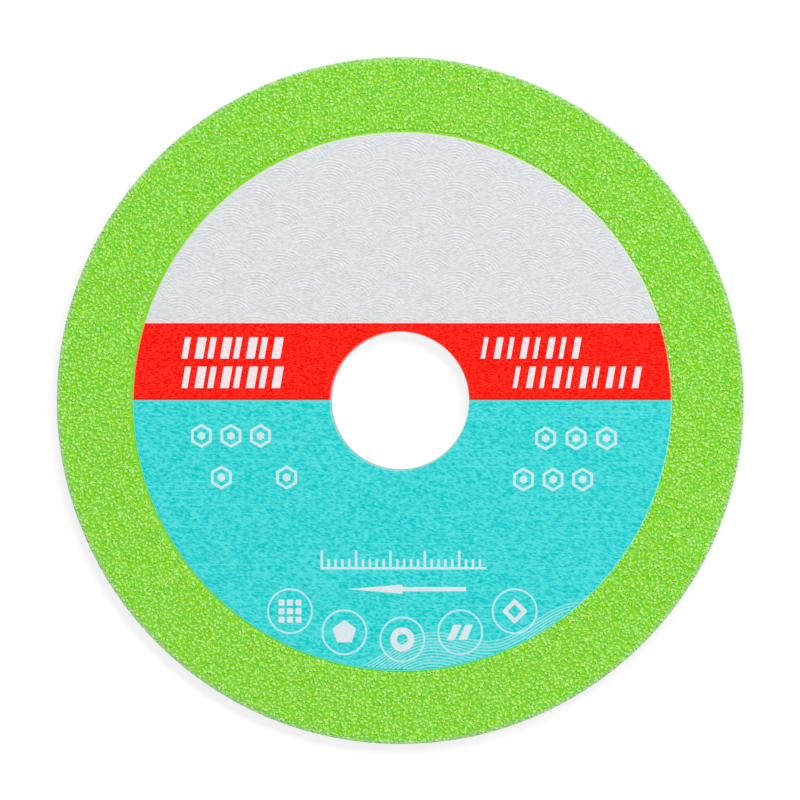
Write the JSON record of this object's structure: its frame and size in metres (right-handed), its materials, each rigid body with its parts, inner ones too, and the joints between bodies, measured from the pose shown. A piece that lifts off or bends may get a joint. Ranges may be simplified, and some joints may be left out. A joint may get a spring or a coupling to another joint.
{
  "type": "diamond saw blade",
  "caption": "Thin continuous-rim diamond cutting disc with a plain bore, a green brazed grit band and a round printed film on its front.",
  "frame": {"origin": "middle of the bore, halfway through the steel disc", "axes": "+Z along the bore axis, out of the printed front face; +Y towards the top of the print; +X to the print's right"},
  "size_m": [0.1, 0.1, 0.0016],
  "materials": {
    "ground_steel": "satin, concentric grinding",
    "painted_grit": "gloss green paint over rough brazed grit",
    "printed_film": "semi-gloss print with a fine wave relief"
  },
  "bodies": {
    "root": {"steel_core": "ground_steel", "diamond_rim": "painted_grit", "front_label": "printed_film"}
  },
  "joints": []
}
